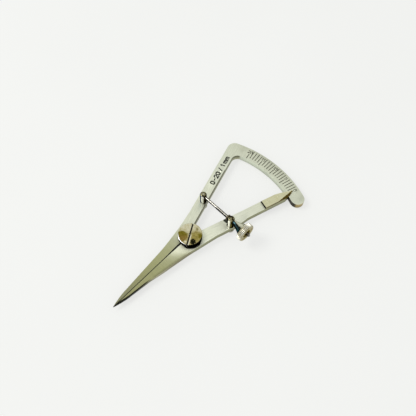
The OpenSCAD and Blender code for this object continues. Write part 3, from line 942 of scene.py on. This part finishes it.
def pillar(name, node, centre, finish, bore_r, from_x, to_x):
    """A turned post with a neck ring at its foot, a domed top and a cross bore."""
    r = PILLAR_R
    stem = 0.7
    shape = [(0, 0), (stem - 0.08, 0), (stem, 0.08), (stem, SEAT_Z), (r - 0.1, SEAT_Z),
             (r, SEAT_Z + 0.1), (r, SEAT_Z + 0.55), (r - 0.12, SEAT_Z + 0.65),
             (r - 0.12, SEAT_Z + 0.85), (r, SEAT_Z + 0.95)]
    shape += round_corner(r - DOME_ROUND, PILLAR_TOP - DOME_ROUND, DOME_ROUND, 0, 90, 8)[:-1]
    shape += [(0.35, PILLAR_TOP - 0.01), (0, PILLAR_TOP)]
    obj = to_object(name, revolve(shape, 64), [finish, RECESS_SHADE], upright(centre))
    bore = revolve([(0, from_x), (bore_r, from_x), (bore_r, to_x), (0, to_x)], 40)
    bore.transform(along_spindle(centre))
    cut(obj, bore, name + "_bore")
    return put(obj, node)


pillar("left_pillar_chrome", "left_pillar", LEFT, CHROME_LEFT, SPINDLE_HOLE_R, -0.8, 4)
pillar("right_pillar_chrome", "right_pillar", RIGHT, CHROME_RIGHT, SPIGOT_HOLE_R, -4, 4)


# ---------------------------------------------------------------- spindle with its thread

THREAD_PITCH = 0.35
THREAD_START, THREAD_RUN_IN = 6.9, 0.5
CREST_R = 0.6
PLAIN_R = 0.52
SPINDLE_END = (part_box("spindle")[1].x - LEFT.x * MM) / math.cos(SPINDLE_TURN) / MM
STOP_T = 0.6
END_R = 0.4  # the spindle's stepped end, which carries the stop
SEAT_START = SPINDLE_END - STOP_T - 0.5


def threaded_rod():
    """A round rod whose thread starts halfway between the pillars."""
    around, per_pitch = 24, 7
    rows = [-0.8, 0.0, 3.0, 6.0]
    z = THREAD_START
    while z < SEAT_START:
        rows.append(z)
        z += THREAD_PITCH / per_pitch
    bm = bmesh.new()
    rings = []
    for z in rows:
        row = []
        for k in range(around):
            a = 2 * PI * k / around
            phase = (z / THREAD_PITCH - k / around) % 1
            wave = min(1.0, max(0.0, 2.4 * (1 - abs(2 * phase - 1)) - 0.55))
            share = min(1.0, max(0.0, (z - THREAD_START) / THREAD_RUN_IN))
            r = PLAIN_R + share * (CREST_R - PLAIN_R) * wave
            row.append(bm.verts.new((r * math.cos(a), r * math.sin(a), z)))
        rings.append(row)
    for r, z in ((CREST_R - 0.06, SEAT_START), (END_R, SEAT_START + 0.02),
                 (END_R, SPINDLE_END - 0.2), (END_R - 0.06, SPINDLE_END - 0.06),
                 (END_R / 2, SPINDLE_END)):
        rings.append(ring(bm, r, z, around))
    for a, b in zip(rings, rings[1:]):
        for k in range(around):
            m = (k + 1) % around
            bm.faces.new((a[k], a[m], b[m], b[k]))
    bm.faces.new(rings[0][::-1])
    bm.faces.new(rings[-1])
    bmesh.ops.recalc_face_normals(bm, faces=bm.faces)
    return bm


put(to_object("spindle_thread", threaded_rod(), [SPINDLE], along_spindle(LEFT), angle=50),
    "spindle")

stop_r = (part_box("spindle_stop")[1].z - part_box("spindle_stop")[0].z) / 2 / MM
stop_bore = END_R + 0.02
stop = revolve([(stop_bore, SEAT_START + 0.03), (stop_r - 0.12, SEAT_START + 0.03),
                (stop_r, SEAT_START + 0.14), (stop_r, SEAT_START + STOP_T - 0.14),
                (stop_r - 0.14, SEAT_START + STOP_T), (stop_bore, SEAT_START + STOP_T)],
               40, closed=True)
put(to_object("spindle_stop_ring", stop, [STUB], along_spindle(LEFT)), "spindle_stop")


# ---------------------------------------------------------------- thumb nut

WHEEL_BORE = 1.7
KNURLS = 44
NUT_BORE_R, SPIGOT_R = 0.64, 0.9
NECK_R, NECK_SWELL, NECK_START = 1.0, 1.32, 1.9
HUB_R = 2.6


def core_bm():
    """A spigot, a flared neck that swells in one hollow curve, and the hub inside the wheel."""
    shoulder = NECK_START - 0.45
    shape = [(NUT_BORE_R, COLLAR_START), (SPIGOT_R - 0.04, COLLAR_START),
             (SPIGOT_R, COLLAR_START + 0.06), (SPIGOT_R, shoulder), (NECK_R, shoulder),
             (NECK_R, NECK_START - 0.1)]
    reach = WHEEL_START - 0.5 - NECK_START
    shape += [(NECK_R + NECK_SWELL * t ** 1.4, NECK_START + reach * t)
              for t in (0.1, 0.25, 0.4, 0.55, 0.7, 0.85, 1)]
    shape += [(HUB_R - 0.1, WHEEL_START - 0.35), (HUB_R, WHEEL_START - 0.22),
              (HUB_R, WHEEL_START), (WHEEL_BORE, WHEEL_START), (WHEEL_BORE, WHEEL_END - 0.2),
              (WHEEL_BORE - 0.1, WHEEL_END - 0.15), (0.75, WHEEL_END - 0.15),
              (NUT_BORE_R, WHEEL_END - 0.25)]
    return revolve(shape, 72, closed=True)


put(to_object("nut_neck_chrome", core_bm(), [NECK], along_spindle(RIGHT)), "nut_core")


def wheel_bm():
    """Straight knurl with flat crests, bevelled rims and a dished outer face."""
    per_tooth = 6
    tooth = (0.0, 0.35, 1.0, 1.0, 1.0, 0.35)
    root = WHEEL_R - 0.24
    count = KNURLS * per_tooth
    w = WHEEL_END - WHEEL_START
    rings = [(WHEEL_BORE, 0, 0), (2.6, 0, 0), (3.05, 0, 0), (WHEEL_R - 0.32, 0.03, 0),
             (WHEEL_R - 0.2, 0.14, 1), (WHEEL_R - 0.08, 0.27, 1), (WHEEL_R, 0.42, 1),
             (WHEEL_R, w / 2, 1), (WHEEL_R, w - 0.42, 1), (WHEEL_R - 0.08, w - 0.27, 1),
             (WHEEL_R - 0.2, w - 0.14, 1), (WHEEL_R - 0.32, w - 0.03, 0), (3.0, w, 0),
             (2.85, w, 0), (2.7, w - 0.1, 0), (2.6, w - 0.3, 0), (WHEEL_BORE, w - 0.3, 0)]
    dished_from = 11  # the first row of the outer face
    bm = bmesh.new()
    made = []
    for limit, z, knurled in rings:
        row = []
        for k in range(count):
            a = 2 * PI * k / count
            r = limit
            if knurled:
                r = min(limit, root + (WHEEL_R - root) * tooth[k % per_tooth])
            row.append(bm.verts.new((r * math.cos(a), r * math.sin(a), z + WHEEL_START)))
        made.append(row)
    for i, (a, b) in enumerate(zip(made, made[1:] + made[:1])):
        for k in range(count):
            m = (k + 1) % count
            face = bm.faces.new((a[k], a[m], b[m], b[k]))
            if i >= dished_from:
                face.material_index = 1
    bmesh.ops.recalc_face_normals(bm, faces=bm.faces)
    return bm


put(to_object("thumb_wheel_knurled", wheel_bm(), [WHEEL, WHEEL_FACE], along_spindle(RIGHT),
              angle=24), "thumb_wheel")

collar_bevel, collar_bore = 0.1, SPIGOT_R + 0.01
collar = revolve([(collar_bore, COLLAR_END), (COLLAR_R - collar_bevel, COLLAR_END),
                  (COLLAR_R, COLLAR_END - collar_bevel), (COLLAR_R, COLLAR_START + collar_bevel),
                  (COLLAR_R - collar_bevel, COLLAR_START), (collar_bore, COLLAR_START)],
                 56, closed=True)
put(to_object("nut_collar_chrome", collar, [STUB], along_spindle(RIGHT)), "nut_collar")


# ---------------------------------------------------------------- floor, light and camera

FLOOR_R = 2500
FLOOR_DROP = 0.02
bm = bmesh.new()
bmesh.ops.create_circle(bm, cap_ends=True, radius=FLOOR_R, segments=96)
floor = to_object("floor", bm, [floor_finish()], Matrix.Translation((0, 0, -FLOOR_DROP)))

world = bpy.data.worlds.new("studio")
bpy.context.scene.world = world
world.use_nodes = True
sky = world.node_tree.nodes["Background"]
sky.inputs["Color"].default_value = (0.985, 1.0, 0.975, 1.0)
sky.inputs["Strength"].default_value = 0.82


def area_light(name, place, aim, size, power, colour):
    data = bpy.data.lights.new(name, "AREA")
    data.shape = "DISK"
    data.size = size
    data.energy = power
    data.color = colour
    obj = bpy.data.objects.new(name, data)
    obj.location = place
    obj.rotation_euler = (Vector(aim) - Vector(place)).to_track_quat("-Z", "Y").to_euler()
    bpy.context.scene.collection.objects.link(obj)


area_light("key", (-0.45, -0.35, 0.75), (0, 0, 0), 0.42, 3.6, (1.0, 0.99, 0.96))

# Where the photograph was taken from: above and to the front right
AZIMUTH, ELEVATION, ROLL = 43.5, 60.75, 0.17
DISTANCE = 0.16125
AIM = Vector((-3.65, 13.33, TOP)) * MM
LENS, SENSOR = 36.35, 36.0

a, e, roll = map(math.radians, (AZIMUTH, ELEVATION, ROLL))
back = Vector((math.sin(a) * math.cos(e), -math.cos(a) * math.cos(e), math.sin(e)))
level = (-back).cross(Vector((0, 0, 1))).normalized()
lift = level.cross(-back)
right = level * math.cos(roll) + lift * math.sin(roll)
up = lift * math.cos(roll) - level * math.sin(roll)
camera_data = bpy.data.cameras.new("camera")
camera_data.lens = LENS
camera_data.sensor_width = SENSOR
camera_data.clip_start = 0.005
camera = bpy.data.objects.new("camera", camera_data)
turned = Matrix((right, up, back)).transposed().to_4x4()
camera.matrix_world = Matrix.Translation(AIM + back * DISTANCE) @ turned
bpy.context.scene.collection.objects.link(camera)
bpy.context.scene.camera = camera
bpy.context.scene.view_settings.view_transform = "Standard"
